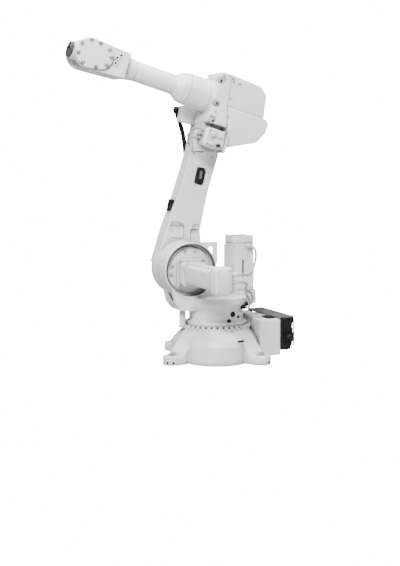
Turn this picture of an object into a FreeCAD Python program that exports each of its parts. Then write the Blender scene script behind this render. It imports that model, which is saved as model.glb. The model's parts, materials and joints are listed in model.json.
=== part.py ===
import FreeCAD, Part
import math
import os
import re

import Sketcher

# Six-axis industrial robot arm, in millimetres.  The origin is on axis 1 at
# floor level, +X is the way the forearm points, +Y the robot's left, +Z up.
# Pieces of the lower arm are drawn upright about axis 2, and pieces of the
# upper arm level about axis 3; their placements lean them to the rest pose.

SIZES = {
    # kinematics
    "shoulder_forward": 150, "shoulder_height": 423, "arm_length": 700,
    "elbow_offset": 112, "wrist_reach": 707, "flange_reach": 85,
    "arm_lean": -12.4, "forearm_pitch": -16.9,
    "bearing_gap": 0.5, "swing_gap": 6,
    # base
    "base_turn": 23.5, "deck_height": 150, "deck_radius": 150, "waist_radius": 208,
    "bulge_centre": 138, "bulge_radius": 139, "bulge_step": 12,
    "bulge_wall": 85, "bulge_chamfer": 30, "bulge_top_radius": 34,
    "foot_circle": 286, "foot_radius": 46, "foot_height": 42, "foot_bolt_radius": 11,
    "leg_width": 96, "leg_shoulder": 170, "gutter_radius": 27, "bearing_ring_height": 8,
    "bearing_ring_radius": 157, "post_radius": 16, "post_circle": 168, "post_side": -6,
    # rear cable box
    "box_front": -150, "box_rear": -257, "box_width": 352, "box_bottom": 19, "box_top": 190,
    "box_wall_rear": 12, "roof_length": 84, "roof_height": 9,
    "hood_depth": 70, "hood_width": 126, "hood_bottom": 43, "hood_side": 118,
    "lid_length": 40, "lid_width": 74, "lid_height": 6,
    "gland_radius": 17, "gland_length": 34,
    # turning frame
    "turn_radius": 145, "turn_height": 20, "drum_radius": 128, "drum_top": 268,
    "shoulder_radius": 150, "ring_radius": 129, "ring_bore": 123, "ring_recess": 46,
    "ring_near": 62, "ring_far": -79, "axle_radius": 100, "nose_front": 248, "nose_bottom": 232,
    "shelf_rear": -178, "shelf_left": 72, "shelf_right": -52, "shelf_top": 300,
    "shelf_height": 46,
    "lug_length": 84, "lug_thick": 18, "lug_top": 545, "lug_hole_radius": 14,
    "lug_x": 28, "lug_y": -20,
    # axis 1 motor
    "motor1_x": -118, "motor1_y": 5, "motor1_length": 112, "motor1_width": 114,
    "motor1_top": 575, "motor1_flange": 16, "motor1_cap": 34, "motor1_lip": 6,
    # axis 2 gearbox and motor
    "gear2_radius": 108, "gear2_thick": 14, "motor2_x": 142, "motor2_z": 406,
    "motor2_plate": 140, "motor2_plate_thick": 14, "motor2_size": 92,
    "motor2_length": 330, "motor2_cap_width": 84, "motor2_cap_height": 126,
    "motor2_cap_length": 66, "plug_radius": 13, "plug_seat": 8, "plug_length": 34, "cable_radius": 5.5,
    "grommet_radius": 10, "grommet_out": 12, "lead_left": 128, "lead_right": 138,
    # lower arm
    "arm_near": -85, "arm_thick": 92, "hub_radius": 128, "hub_far_radius": 110,
    "hub_far_depth": 42, "hub_near_depth": 50, "elbow_radius": 62, "plug_width": 46,
    "plug_height": 82, "pocket_depth": 10, "cover_thick": 9, "hose_radius": 11,
    # upper arm
    "tube_radius": 77, "seam_reach": 194, "house_front": 79, "house_back": -20,
    "house_near": 97, "house_far": -78, "house_top": 120, "house_bottom": -125,
    "scallop_radius": 15, "gear3_radius": 78, "gear3_near": 24,
    "cover_near": 94, "cover_far": -72, "lower_cover_near": 106,
    "motor3_x": 27, "motor3_z": -84, "motor3_length": 100, "motor3_height": 88,
    "motor3_end": 118, "motor3_flange_radius": 62, "motor3_flange_thick": 12,
    "motor3_boss_radius": 15,
    # forearm and wrist
    "neck_reach": 262, "bulb_reach": 228, "bulb_radius": 71, "forearm_radius": 48,
    "fork_start": 462, "fork_body": 530, "fork_root_radius": 60, "fork_tip_radius": 72,
    "fork_slot_back": 90, "fork_half": 78, "slot_half": 48, "side_cover": 13,
    "cover_edge": 3, "cover_start": 660, "tilt_radius": 50, "tilt_half": 42, "snout_radius": 43,
    "trunnion_radius": 30, "flange_radius": 36, "flange_thick": 12, "flange_neck": 30,
    "tool_circle": 25, "tool_hole_radius": 3.4, "tool_hole_count": 6, "pilot_radius": 15.75,
    "pilot_depth": 5,
}

document = FreeCAD.newDocument("RobotArm")
sheet = document.addObject("Spreadsheet::Sheet", "Sizes")
subparts = []


def fill_sheet():
    for row, (alias, number) in enumerate(SIZES.items(), start=1):
        sheet.set(f"A{row}", alias)
        sheet.set(f"B{row}", str(number))
        sheet.setAlias(f"B{row}", alias)
    document.recompute()


def sized(rule):
    """Write a rule in aliases as an expression on the sheet."""
    text = str(rule)
    return re.sub(r"[a-z][a-z0-9_]*(?!\()\b", lambda word: "Sizes." + word[0]
                  if word[0] in SIZES else word[0], text)


def bind(item, **rules):
    for name, rule in rules.items():
        item.setExpression(name.replace("__", "."), sized(rule))
    return item


def stand(item, x=0, y=0, z=0, axis=(0, 0, 1), angle=0):
    """Bind the place of an object and its turn about one axis."""
    turn = f"rotation(vector({axis[0]}; {axis[1]}; {axis[2]}); {sized(angle)})"
    item.setExpression("Placement", f"placement(vector({sized(x)}; {sized(y)}; {sized(z)}); {turn})")
    return item


def block(name, x, y, z, length, width, height, axis=(0, 0, 1), angle=0):
    """A box from its lowest corner."""
    item = document.addObject("Part::Box", name)
    bind(item, Length=length, Width=width, Height=height)
    return stand(item, x, y, z, axis, angle)


AXES = {"X": ((0, 1, 0), 90), "Y": ((1, 0, 0), -90), "Z": ((0, 0, 1), 0)}


def rod(name, radius, length, x=0, y=0, z=0, along="Z"):
    """A cylinder that runs up the given axis from its start."""
    item = document.addObject("Part::Cylinder", name)
    bind(item, Radius=radius, Height=length)
    axis, angle = AXES[along]
    return stand(item, x, y, z, axis, angle)


def taper(name, start_radius, end_radius, length, x=0, y=0, z=0, along="Z"):
    item = document.addObject("Part::Cone", name)
    bind(item, Radius1=start_radius, Radius2=end_radius, Height=length)
    axis, angle = AXES[along]
    return stand(item, x, y, z, axis, angle)


def join(name, *pieces):
    item = document.addObject("Part::MultiFuse", name)
    item.Shapes = list(pieces)
    item.Refine = True
    return item


def remove(name, body, *tools):
    item = document.addObject("Part::Cut", name)
    item.Base = body
    item.Tool = tools[0] if len(tools) == 1 else join(name + "_tools", *tools)
    item.Refine = True
    return item


def origin_plane(body, role):
    return next(item for item in body.Origin.OriginFeatures if item.Role == role)


def profile(name, points, near, width, rounds=None):
    """Pad an outline in X and Z from the plane Y = near away to the far side."""
    body = document.addObject("PartDesign::Body", name)
    sketch = body.newObject("Sketcher::SketchObject", name + "_sketch")
    sketch.AttachmentSupport = (origin_plane(body, "XZ_Plane"), "")
    sketch.MapMode = "FlatFace"
    sketch.setExpression("AttachmentOffset.Base.z", "-(" + sized(near) + ")")
    count = len(points)
    for index in range(count):
        angle = 2 * math.pi * index / count
        following = 2 * math.pi * (index + 1) / count
        start = FreeCAD.Vector(100 * math.cos(angle), 100 * math.sin(angle), 0)
        end = FreeCAD.Vector(100 * math.cos(following), 100 * math.sin(following), 0)
        sketch.addGeometry(Part.LineSegment(start, end))
    for index in range(count):
        sketch.addConstraint(Sketcher.Constraint("Coincident", index, 2, (index + 1) % count, 1))
    for index, (across, up) in enumerate(points):
        for kind, rule in (("DistanceX", across), ("DistanceY", up)):
            place = sketch.addConstraint(Sketcher.Constraint(kind, -1, 1, index, 1, 1.0))
            sketch.setExpression(f"Constraints[{place}]", sized(rule))
    pad = body.newObject("PartDesign::Pad", name + "_pad")
    pad.Profile = sketch
    bind(pad, Length=width)
    document.recompute()
    for order, (radius, corners) in enumerate((rounds or {}).items()):
        places = [sketch.Geometry[corner].StartPoint for corner in corners]
        base = body.Tip
        edges = [f"Edge{number}" for number, edge in enumerate(base.Shape.Edges, start=1)
                 if len(edge.Vertexes) == 2 and upright_at(edge, places)]
        fillet = body.newObject("PartDesign::Fillet", f"{name}_round{order}")
        fillet.Base = (base, edges)
        bind(fillet, Radius=radius)
        document.recompute()
    return body


def upright_at(edge, places):
    """True when an edge runs along Y through one of the sketch's corners."""
    first, last = (vertex.Point for vertex in edge.Vertexes)
    runs_along = math.hypot(first.x - last.x, first.z - last.z) < 0.01
    return runs_along and any(math.hypot(first.x - spot.x, first.z - spot.y) < 0.01 for spot in places)


def finish(item, label):
    item.Label = label
    subparts.append(item)
    return item


def value(alias):
    return float(sheet.get(alias))


def tube_path(route, bend_share=0.45):
    """Straight runs joined by tangent arcs as large as the runs allow."""
    points = [FreeCAD.Vector(*point) for point in route]
    edges = []
    start = points[0]
    for before, corner, after in zip(points, points[1:], points[2:]):
        back = (before - corner).normalize()
        ahead = (after - corner).normalize()
        run = min((before - corner).Length, (after - corner).Length)
        half_turn = (math.pi - back.getAngle(ahead)) / 2
        trim = bend_share * run
        radius = trim / math.tan(half_turn)
        enter = corner + back * trim
        leave = corner + ahead * trim
        inward = (back + ahead).normalize()
        centre = corner + inward * (radius / math.cos(half_turn))
        middle = centre - inward * radius
        edges.append(Part.LineSegment(start, enter).toShape())
        edges.append(Part.Arc(enter, middle, leave).toShape())
        start = leave
    edges.append(Part.LineSegment(start, points[-1]).toShape())
    return Part.Wire(edges)


def tube(route, radius):
    """Sweep a round section along a route."""
    path = tube_path(route)
    heading = FreeCAD.Vector(*route[1]) - FreeCAD.Vector(*route[0])
    section = Part.Wire(Part.makeCircle(radius, FreeCAD.Vector(*route[0]), heading))
    return path.makePipeShell([section], True, False)


def shaped(label, shape):
    item = document.addObject("Part::Feature", label)
    item.Shape = shape
    return finish(item, label)


def settled(item):
    """A placed primitive wrapped, so that the wrapper's own place can move it."""
    if item.TypeId not in ("Part::Box", "Part::Cylinder", "Part::Cone"):
        return item
    wrapper = document.addObject("Part::Refine", item.Name + "_settled")
    wrapper.Source = item
    return wrapper


def lean_lower(item):
    """Set a piece drawn upright about axis 2 into the rest pose."""
    return stand(settled(item), "shoulder_forward", 0, "shoulder_height", (0, 1, 0), "arm_lean")


def pitch_upper(item):
    """Set a piece drawn level about axis 3 into the rest pose."""
    x = "shoulder_forward + arm_length * sin(arm_lean)"
    z = "shoulder_height + arm_length * cos(arm_lean)"
    return stand(settled(item), x, 0, z, (0, 1, 0), "forearm_pitch")


def turned(item, quarter):
    return stand(item, 0, 0, 0, (0, 0, 1), f"base_turn + {90 * quarter}")


# ---------------------------------------------------------------- base

def base_leg(quarter):
    name = f"leg{quarter}"
    outline = [(60, 0), ("foot_circle", 0), ("foot_circle", "foot_height"),
               ("foot_circle - 22", "foot_height"), ("leg_shoulder", "deck_height - 8"),
               (60, "deck_height - 8")]
    web = profile(name + "_web", outline, "leg_width / 2", "leg_width")
    pad = rod(name + "_pad_round", "foot_radius", "foot_height", "foot_circle", 0, 0)
    return turned(join(name, web, pad), quarter)


def base_side(quarter):
    name = f"side{quarter}"
    wall = rod(name + "_wall", "bulge_radius", "bulge_wall", "bulge_centre", 0, 0)
    chamfer = taper(name + "_chamfer", "bulge_radius", "bulge_radius - bulge_step",
                    "bulge_chamfer", "bulge_centre", 0, "bulge_wall")
    slope = taper(name + "_slope", "bulge_radius - bulge_step", "bulge_top_radius",
                  "deck_height - 4 - bulge_wall - bulge_chamfer", "bulge_centre", 0,
                  "bulge_wall + bulge_chamfer")
    side = join(name, wall, chamfer, slope)
    return turned(side, quarter + 0.5)


def base_gutter(quarter):
    """The sloping trough that gives a spanner room over each floor bolt."""
    name = f"gutter{quarter}"
    steep = "atan((deck_height - foot_height) / (foot_circle - 14 - leg_shoulder))"
    trough = rod(name + "_trough", "gutter_radius", 240)
    stand(trough, "foot_circle + 6", 0, "foot_height + gutter_radius * 0.52", (0, 1, 0), f"{steep} - 90 deg")
    well = rod(name + "_well", "gutter_radius", "box_top", "foot_circle", 0, "foot_height")
    bore = rod(name + "_bore", "foot_bolt_radius", "foot_height + 2", "foot_circle", 0, -1)
    return turned(join(name, trough, well, bore), quarter)


def build_base():
    waist = rod("waist", "waist_radius", "bulge_wall + 8")
    rise = taper("waist_rise", "waist_radius", "deck_radius",
                 "deck_height - bulge_wall - 8", 0, 0, "bulge_wall + 8")
    ring = rod("bearing_ring", "bearing_ring_radius", "bearing_ring_height", 0, 0, "deck_height")
    deck = rod("deck", "bearing_ring_radius + 5", 30, 0, 0, "deck_height - 30")
    quarters = range(4)
    rounded_sides = (0, 2)
    solid = join("base_solid", waist, rise, ring, deck, *[base_leg(q) for q in quarters],
                 *[base_side(q) for q in rounded_sides])
    finish(remove("base_casting", solid, *[base_gutter(q) for q in quarters]), "base_casting")
    post = rod("post_rod", "post_radius", "nose_bottom - swing_gap - deck_height + 30",
               "post_circle", "post_side", "deck_height - 30")
    solid_base = document.getObject("base_casting")
    finish(remove("stop_post_cut", post, solid_base), "stop_post")


def build_rear_box():
    half = "box_width / 2"
    shell = block("rear_box_shell", "box_rear", f"-{half}", "box_bottom", "box_front - box_rear",
                  "box_width", "box_top - box_bottom")
    scoop = rod("rear_box_scoop", "waist_radius - 34", "box_top", 0, 0, "deck_height + 12")
    body = remove("rear_box_body", shell, scoop)
    clear = join("rear_box_clear", document.getObject("base_casting"),
                 document.getObject("gutter2"))
    finish(remove("rear_box_cut", body, clear), "rear_box")
    finish(block("rear_roof", "box_rear - hood_depth", f"-{half}", "box_top", "roof_length",
                 "box_width", "roof_height"), "rear_roof")
    finish(block("rear_lid", "box_rear + roof_length - hood_depth + 6", "hood_side - lid_width / 2",
                 "box_top", "lid_length", "lid_width", "lid_height"), "rear_lid")
    hood = block("hood_block", "box_rear - hood_depth", "hood_side - hood_width / 2", "hood_bottom",
                 "hood_depth", "hood_width", "box_top - hood_bottom")
    finish(hood, "connector_hood")
    finish(rod("hood_gland", "gland_radius", "gland_length", "box_rear - hood_depth / 2",
               "hood_side + hood_width / 2", "(box_top + hood_bottom) / 2 - 12", "Y"), "hood_gland")


# ------------------------------------------------------- turning frame

def radial_plug(name, direction, start, end, height, radius):
    """A round plug that points out from axis 1."""
    item = rod(name, radius, f"{end} - ({start})")
    angle = sized(direction)
    heading = f"create(<<vector>>; sin({angle}); 0 - cos({angle}); 0)"
    turn = f"rotation({heading}; 0 - 90)"
    place = f"vector(({sized(start)}) * cos({angle}); ({sized(start)}) * sin({angle}); {sized(height)})"
    item.setExpression("Placement", f"placement({place}; {turn})")
    return item


def frame_plugs():
    """Black blanking plugs in the side of the drum."""
    inside = "drum_radius - plug_seat"
    return [radial_plug("drum_plug_large", 106, inside, "drum_radius + 3", "nose_bottom - 17", 12),
            radial_plug("drum_plug_small", 122, inside, "drum_radius + 3", "nose_bottom - 32", 6),
            radial_plug("drum_plug_low", 96, inside, "drum_radius + 3", "nose_bottom - 48", 9)]


def cable_grommets():
    """Rubber boots where the motor leads go into the frame."""
    outside = "shoulder_radius + grommet_out"
    return [radial_plug("grommet_" + side, "lead_" + side, "drum_radius", outside, height, "grommet_radius")
            for side, height in (("left", "nose_bottom + 14"), ("right", "nose_bottom + 26"))]


def build_frame():
    floor = "deck_height + bearing_ring_height + bearing_gap"
    table = rod("frame_table", "turn_radius", "turn_height", 0, 0, floor)
    drum = rod("frame_drum", "drum_radius", f"drum_top - ({floor})", 0, 0, floor)
    flare = taper("frame_flare", "drum_radius", "shoulder_radius", 34, 0, 0, "nose_bottom - 4")
    upper = rod("frame_upper", "shoulder_radius", 30, 0, 0, "nose_bottom + 30")
    nose = profile("frame_nose", [
        (-100, "nose_bottom + 20"), (60, "nose_bottom"), ("nose_front - 52", "nose_bottom"),
        ("nose_front - 22", "nose_bottom + 36"), ("nose_front", "shoulder_height - 70"),
        ("shoulder_forward + ring_radius - 4", "shoulder_height"), (20, "shoulder_height"),
        (-44, "shelf_top")], "ring_near - 6", "ring_near - 6 - ring_far")
    ring = rod("frame_ring", "ring_radius", "ring_near - ring_far", "shoulder_forward", "ring_far",
               "shoulder_height", "Y")
    shelf = block("frame_shelf", "shelf_rear", "shelf_right", "shelf_top - shelf_height",
                  "-shelf_rear - 40", "shelf_left - shelf_right", "shelf_height")
    axle = rod("frame_axle", "axle_radius", "ring_far - arm_near - bearing_gap + 10",
               "shoulder_forward", "arm_near + bearing_gap", "shoulder_height", "Y")
    solid = join("frame_solid", table, drum, flare, upper, nose, ring, shelf, axle)
    recess = rod("frame_recess", "ring_bore", "ring_recess + 1", "shoulder_forward",
                 "ring_near - ring_recess", "shoulder_height", "Y")
    sockets = [*frame_plugs(), *cable_grommets()]
    finish(remove("turning_frame", solid, recess, *sockets), "turning_frame")
    finish(join("frame_plugs_set", *sockets[:3]), "frame_plugs")
    finish(join("cable_grommets_set", *sockets[3:]), "cable_grommets")
    bar = block("lug_bar", "lug_x - lug_length / 2", "lug_y - lug_thick / 2", "shoulder_height + 20",
                "lug_length", "lug_thick", "lug_top - shoulder_height - 20")
    hole = rod("lug_hole", "lug_hole_radius", "lug_thick + 2", "lug_x - 8", "lug_y - lug_thick / 2 - 1",
               "lug_top - 34", "Y")
    slot = block("lug_slot", "lug_x - 8 - lug_hole_radius", "lug_y - lug_thick / 2 - 1",
                 "lug_top - 86", "2 * lug_hole_radius", "lug_thick + 2", 52)
    eye = remove("lug_eye", bar, hole, slot)
    finish(remove("lug_cut", eye, document.getObject("turning_frame")), "lifting_lug")


def build_motor1():
    def prism(name, grow, bottom, height):
        return block(name, f"motor1_x - motor1_length / 2 - {grow}",
                     f"motor1_y - motor1_width / 2 - {grow}", bottom,
                     f"motor1_length + 2 * ({grow})", f"motor1_width + 2 * ({grow})", height)
    finish(prism("motor1_flange_block", "motor1_lip", "shelf_top", "motor1_flange"), "motor1_flange")
    body = prism("motor1_body_block", 0, "shelf_top + motor1_flange",
                 "motor1_top - motor1_cap - shelf_top - motor1_flange")
    finish(body, "motor1_body")
    finish(prism("motor1_cap_block", "-2", "motor1_top - motor1_cap", "motor1_cap"), "motor1_cap")
    finish(rod("motor1_plug", "plug_radius", 30, "motor1_x - 22", "motor1_y + motor1_width / 2",
               "motor1_top - 46", "Y"), "motor1_plug")


def build_motor2():
    floor = "ring_near - ring_recess"
    finish(rod("gear2_disc", "gear2_radius", "gear2_thick", "shoulder_forward", floor,
               "shoulder_height", "Y"), "gear2_plate")

    def square(name, width, height, start, length):
        return block(name, f"motor2_x - {width} / 2", start, f"motor2_z - {height} / 2", width,
                     length, height)
    plate_face = f"{floor} + gear2_thick"
    body_start = f"{plate_face} + motor2_plate_thick"
    cap_start = f"{body_start} + motor2_length"
    finish(square("motor2_plate_block", "motor2_plate", "motor2_plate", plate_face,
                  "motor2_plate_thick"), "motor2_flange")
    finish(square("motor2_body_block", "motor2_size", "motor2_size", body_start, "motor2_length"),
           "motor2_body")
    finish(square("motor2_cap_block", "motor2_cap_width", "motor2_cap_height", cap_start,
                  "motor2_cap_length"), "motor2_cap")
    plugs = [rod(f"motor2_plug{order}", "plug_radius", "plug_length",
                 "motor2_x - motor2_cap_width / 2 - plug_length", f"{cap_start} + 30",
                 f"motor2_z {place}", "X") for order, place in enumerate(("+ 25", "- 8", "- 41"))]
    finish(join("motor2_plugs_set", *plugs), "motor2_plugs")
    document.recompute()
    finish_cables()


def finish_cables():
    """Motor leads: one over to the axis 1 motor, two down into the frame."""
    radius = value("cable_radius")
    plug_x = value("motor2_x") - value("motor2_cap_width") / 2 - value("plug_length")
    plug_y = value("ring_near") - value("ring_recess") + value("gear2_thick") + 30
    plug_y += value("motor2_plate_thick") + value("motor2_length")
    high, middle, low = (value("motor2_z") + drop for drop in (25, -8, -41))
    x = value("motor1_x") - 22
    y = value("motor1_y") + value("motor1_width") / 2 + 30
    z = value("motor1_top") - 46
    over = [(plug_x, plug_y, high), (plug_x - 30, plug_y, high), (plug_x - 60, plug_y - 30, high - 6),
            (plug_x - 106, plug_y - 104, high - 13), (plug_x - 166, plug_y - 204, high - 6),
            (x - 10, y + 22, z - 86), (x - 18, y + 22, z - 44), (x - 12, y + 26, z - 12), (x, y + 14, z),
            (x, y, z)]
    shapes = [tube(over, radius)]
    seat = value("shoulder_radius") + value("grommet_out")
    for height, lead, rise in ((middle, "lead_right", 26), (low, "lead_left", 14)):
        direction = math.radians(value(lead))
        end_z = value("nose_bottom") + rise
        outward = [(reach * math.cos(direction), reach * math.sin(direction))
                   for reach in (seat, seat + 14, seat + 22)]
        span = plug_y - outward[2][1]
        drop = height - end_z
        down = [(plug_x, plug_y, height), (plug_x - 30, plug_y, height),
                (plug_x - 54, plug_y - 16, height - 14),
                (plug_x - 84, plug_y - 0.38 * span, end_z + 0.6 * drop + 12),
                (outward[2][0] + 34, outward[2][1] + 0.2 * span, end_z + 0.3 * drop + 20),
                (*outward[2], end_z + 24), (*outward[1], end_z), (*outward[0], end_z)]
        shapes.append(tube(down, radius))
    shaped("motor_cables", Part.makeCompound(shapes))


# ----------------------------------------------------------- lower arm

def build_lower_arm():
    outline = [("hub_radius - 6", 0), (108, 160), (79, 372), (62, 560),
               ("elbow_radius - 3", "arm_length"), ("-elbow_radius + 2", "arm_length"), (-80, 560),
               (-64, 372), (-64, 190), (-104, 70), ("-hub_radius + 6", 0)]
    link = profile("arm_link", outline, "arm_near", "arm_thick")
    hub = rod("arm_hub", "hub_radius", "hub_near_depth", 0, "arm_near - hub_near_depth", 0, "Y")
    far = taper("arm_hub_far", "hub_far_radius", "hub_radius", "hub_far_depth", 0,
                "arm_near - hub_near_depth - hub_far_depth", 0, "Y")
    elbow = rod("arm_elbow", "elbow_radius", "arm_thick", 0, "arm_near - arm_thick", "arm_length", "Y")
    solid = join("arm_solid", link, hub, far, elbow)
    window = block("arm_window", "-9 - plug_width / 2", "arm_near - pocket_depth", "446 - plug_height / 2",
                   "plug_width", "pocket_depth + 1", "plug_height")
    pocket_low = block("arm_pocket_low", 24, "arm_near - pocket_depth", 152, 64, "pocket_depth + 1", 56)
    pocket_rear = block("arm_pocket_rear", -58, "arm_near - pocket_depth", 166, 36, "pocket_depth + 1", 48)
    pocket_top = block("arm_pocket_top", 4, "arm_near - pocket_depth", 560, 58, "pocket_depth + 1", 56)
    arm = remove("lower_arm", solid, window, pocket_low, pocket_rear, pocket_top)
    finish(lean_lower(arm), "lower_arm")
    plug = block("window_block", "-9 - plug_width / 2 + 0.5", "arm_near - pocket_depth",
                 "446 - plug_height / 2 + 0.5", "plug_width - 1", "pocket_depth + 1.5", "plug_height - 1")
    finish(lean_lower(plug), "window_plug")
    far_side = "arm_near - hub_near_depth - hub_far_depth - cover_thick"
    finish(lean_lower(rod("hub_cover_disc", "hub_far_radius - 14", "cover_thick", 0, far_side, 0, "Y")),
           "hub_cover")
    finish(lean_lower(rod("elbow_cover_disc", "elbow_radius - 8", "cover_thick", 0,
                          "arm_near - arm_thick - cover_thick", "arm_length", "Y")), "elbow_cover")
    clamp = block("edge_clamp_block", 60, "arm_near - 66", 254, 42, 44, 56)
    finish(lean_lower(remove("edge_clamp_cut", clamp, unleaned_arm())), "edge_clamp")


def unleaned_arm():
    """The arm casting as drawn, before it leans, for pieces that seat on it."""
    item = document.addObject("Part::Cut", "arm_tool" + str(len(subparts)))
    item.Base = document.getObject("lower_arm").Base
    item.Tool = document.getObject("arm_window")
    return item


def build_hose():
    """A black hose guide up the far side of the elbow, held at both ends."""
    far = value("arm_near") - value("arm_thick")
    radius = value("hose_radius")
    lane = far - radius - 0.3
    top = value("arm_length")
    route = [(50, lane, top - 155), (58, lane, top - 118), (75, lane, top - 75),
             (100, lane, top - 28), (122, lane, top + 4), (138, lane, top + 35), (150, lane, top + 56)]
    item = shaped("elbow_hose", tube(route, radius))
    lean_lower(item)
    clip = block("clip_block", 110, "arm_near - arm_thick - 26", "arm_length + 18", 50, 34, 44)
    finish(lean_lower(remove("hose_clip_cut", clip, item_at_rest(item))), "hose_clip")
    bracket = block("bracket_block", 20, "arm_near - arm_thick + 8", "arm_length - 16", 118, 64, 78)
    finish(lean_lower(remove("elbow_bracket_cut", bracket, unleaned_arm())), "elbow_bracket")


def item_at_rest(item):
    copy = document.addObject("Part::Feature", item.Label + "_tool")
    shape = item.Shape.copy()
    shape.Placement = FreeCAD.Placement()
    copy.Shape = shape
    return copy


# ----------------------------------------------------------- upper arm

def build_house():
    axis = "elbow_offset"
    outline = [("house_front", f"{axis} + house_bottom"), ("house_front", f"{axis} + house_top - 8"),
               ("house_front - 10", f"{axis} + house_top"), (25, f"{axis} + house_top"),
               (8, f"{axis} - 14"), ("house_back", f"{axis} + house_bottom")]
    core = profile("house_core", outline, "house_near", "house_near - house_far")
    barrel = rod("house_barrel", "tube_radius", "seam_reach - 20", 20, 0, axis, "X")
    gear = rod("house_gear", "gear3_radius", "gear3_near - arm_near - bearing_gap", 0,
               "arm_near + bearing_gap", 0, "Y")
    solid = join("house_solid", core, barrel, gear)
    cuts = [rod(f"house_scallop{order}", "scallop_radius", 60, "house_front - 34", "house_near + 3",
                f"{axis} {place}", "X") for order, place in enumerate(("+ 78", "- 33", "- 108"))]
    finish(pitch_upper(remove("arm_house", solid, *cuts)), "arm_house")


def build_rear_cover():
    axis = "elbow_offset"
    upper = profile("upper_cover", [
        (24.5, f"{axis} + house_top + 3"), (-133, f"{axis} + 115"), (-175, f"{axis} + 83"),
        (-192, f"{axis} - 30"), (5.6, f"{axis} - 30")], "cover_near", "cover_near - cover_far",
        {18: [1], 26: [2]})
    finish(pitch_upper(remove("upper_cover_cut", upper, house_tool("upper"))), "rear_cover_upper")
    lower = profile("lower_cover", [
        (5.6, f"{axis} - 30"), (-200, f"{axis} - 30"), (-219, f"{axis} - 48"), (-214, f"{axis} - 97"),
        (-184, f"{axis} - 150"), (-58, f"{axis} - 211"), (-42, f"{axis} - 218"),
        ("house_back - 2", f"{axis} + house_bottom")], "lower_cover_near",
        "lower_cover_near - cover_far", {16: [2, 3], 22: [4]})
    finish(pitch_upper(remove("lower_cover_cut", lower, house_tool("lower"))), "rear_cover_lower")


def house_tool(name):
    item = document.addObject("Part::MultiFuse", "house_tool_" + name)
    item.Shapes = document.getObject("house_solid").Shapes
    return item


def build_motor3():
    root = "gear3_near"
    flange = rod("motor3_disc", "motor3_flange_radius", "motor3_flange_thick", "motor3_x", root,
                 "motor3_z", "Y")
    finish(pitch_upper(remove("motor3_flange_cut", flange, house_tool("flange"))), "motor3_flange")
    body = block("motor3_block", "motor3_x - motor3_length / 2", f"{root} + motor3_flange_thick",
                 "motor3_z - motor3_height / 2", "motor3_length",
                 f"motor3_end - {root} - motor3_flange_thick", "motor3_height")
    finish(pitch_upper(remove("motor3_body_cut", body, house_tool("motor"))), "motor3_body")
    boss = rod("motor3_boss_rod", "motor3_boss_radius", 16, "motor3_x + 22", "motor3_end", "motor3_z + 16", "Y")
    finish(pitch_upper(boss), "motor3_boss")
    rail = block("rail_block", "motor3_x - motor3_length / 2 - 14", f"{root} + motor3_flange_thick",
                 "motor3_z - motor3_height / 2 - 6", 14, 78, "motor3_height - 2")
    finish(pitch_upper(remove("motor3_rail_cut", rail, house_tool("rail"),
                              cover_tool())), "motor3_rail")


def cover_tool():
    item = document.addObject("Part::Cut", "cover_tool")
    item.Base = document.getObject("lower_cover_cut").Base
    item.Tool = document.getObject("house_tool_lower")
    return item


# --------------------------------------------------- forearm and wrist

def build_forearm():
    axis = "elbow_offset"
    seam = "seam_reach + bearing_gap"
    bulb = taper("forearm_bulb", "tube_radius", "bulb_radius", f"bulb_reach - ({seam})", seam, 0, axis, "X")
    neck = taper("forearm_neck", "bulb_radius", "forearm_radius", "neck_reach - bulb_reach",
                 "bulb_reach", 0, axis, "X")
    barrel = rod("forearm_barrel", "forearm_radius", "fork_start - neck_reach", "neck_reach", 0, axis, "X")
    finish(pitch_upper(join("forearm_tube", bulb, neck, barrel)), "forearm_tube")


def oval(name, start, root_radius, tip_radius, near, width):
    """A plate from a small round at its root to a large one at the wrist centre."""
    axis = "elbow_offset"
    plate = profile(name + "_plate", [
        (start, f"{axis} - ({root_radius})"), ("wrist_reach", f"{axis} - ({tip_radius})"),
        ("wrist_reach", f"{axis} + {tip_radius}"), (start, f"{axis} + {root_radius}")], near, width)
    tip = rod(name + "_tip", tip_radius, width, "wrist_reach", f"{near} - ({width})", axis, "Y")
    return plate, tip


def build_fork():
    axis = "elbow_offset"
    neck = taper("fork_neck", "forearm_radius", "fork_root_radius", "fork_body - fork_start", "fork_start", 0,
                 axis, "X")
    plate, tip = oval("fork", "fork_body - 10", "fork_root_radius", "fork_tip_radius", "fork_half",
                      "2 * fork_half")
    solid = join("fork_solid", neck, plate, tip)
    slot = block("fork_slot", "wrist_reach - fork_slot_back", "-slot_half", 0,
                 "fork_slot_back + fork_tip_radius + 5", "2 * slot_half", "2 * elbow_offset")
    finish(pitch_upper(remove("wrist_fork", solid, slot)), "wrist_fork")
    for side, near in (("left", "fork_half + side_cover"), ("right", "-fork_half")):
        plate, tip = oval("cover_" + side, "cover_start", "fork_root_radius",
                          "fork_tip_radius - cover_edge", near, "side_cover")
        root = rod(f"cover_{side}_root", "fork_root_radius", "side_cover", "cover_start",
                   f"{near} - side_cover", axis, "Y")
        finish(pitch_upper(join("wrist_cover_" + side, plate, tip, root)), "wrist_cover_" + side)


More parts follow.
